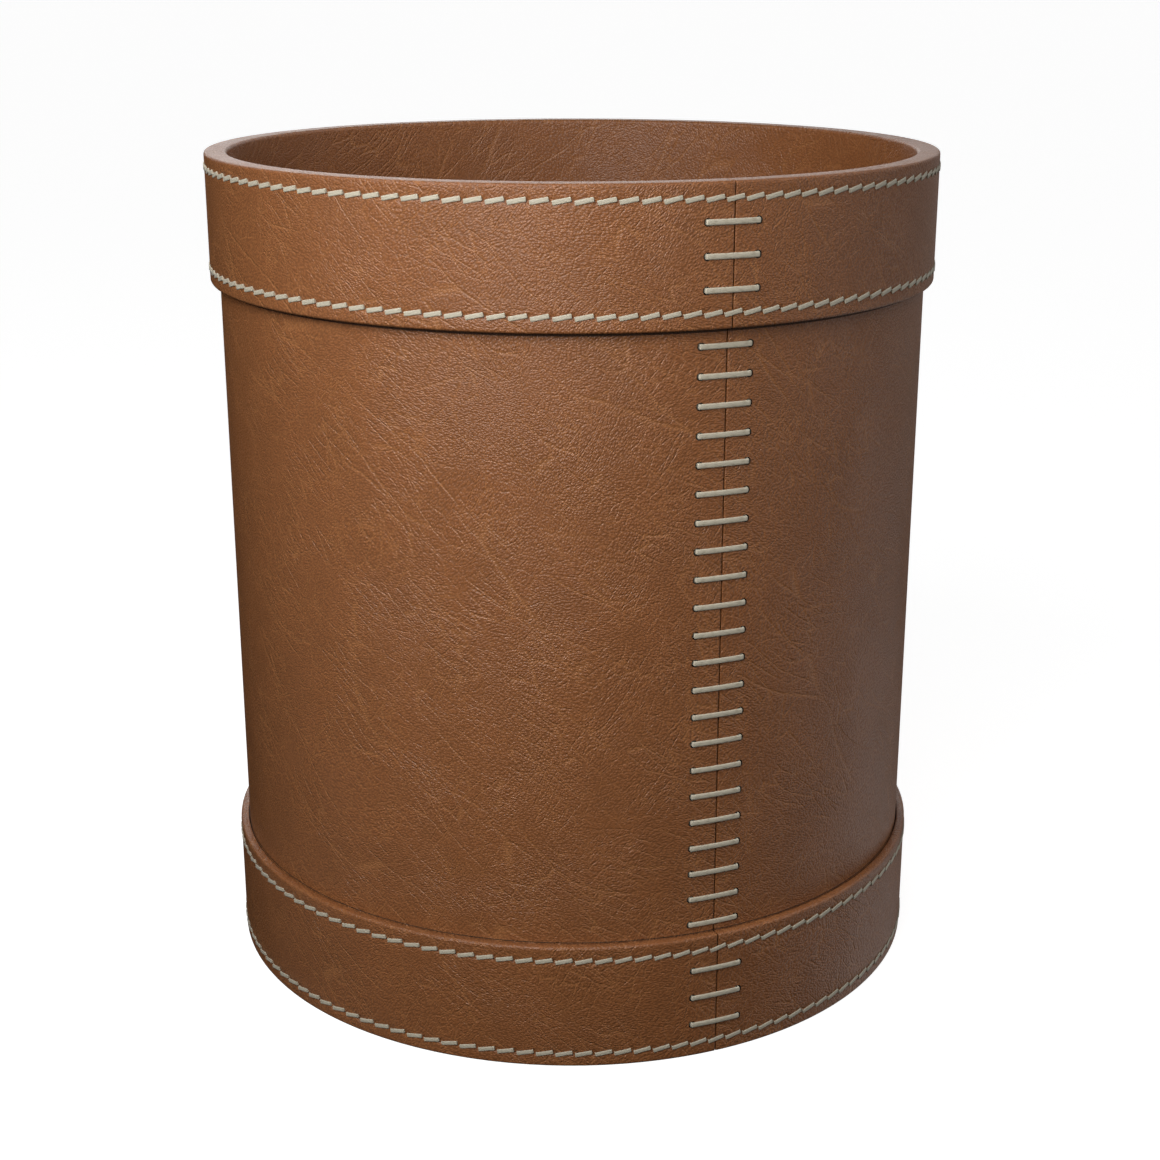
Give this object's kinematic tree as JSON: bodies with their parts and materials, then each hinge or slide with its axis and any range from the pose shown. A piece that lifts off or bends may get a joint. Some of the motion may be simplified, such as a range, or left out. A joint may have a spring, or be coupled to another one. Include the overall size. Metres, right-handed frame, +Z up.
{
  "type": "leather dice cup",
  "caption": "Upright round leather cup for shaking dice, lined with leather, with a laced seam, a sewn collar turned over the rim and a sewn base band.",
  "frame": {"origin": "centre of the sole's underside, on the surface that the cup stands on", "axes": "+Z up through the mouth along the cup's axis; the front faces -Y, and the laced seam is 22 degrees from the front towards +X"},
  "size_m": [0.0884, 0.0884, 0.1],
  "materials": {
    "cover_leather": "satin",
    "band_leather": "satin",
    "lining_leather": "satin",
    "sole_leather": "satin",
    "board": "matte",
    "felt": "matte",
    "thread": "matte"
  },
  "bodies": {
    "root": {"outer_cover": "cover_leather", "core_tube": "board", "lining_sleeve": "lining_leather", "collar": "band_leather", "base_band": "band_leather", "base_board": "board", "base_sole": "sole_leather", "floor_felt": "felt", "floor_lining": "lining_leather", "cover_lacing": "thread", "collar_lacing": "thread", "base_band_lacing": "thread", "collar_upper_stitching": "thread", "collar_lower_stitching": "thread", "base_upper_stitching": "thread", "base_lower_stitching": "thread"}
  },
  "joints": []
}
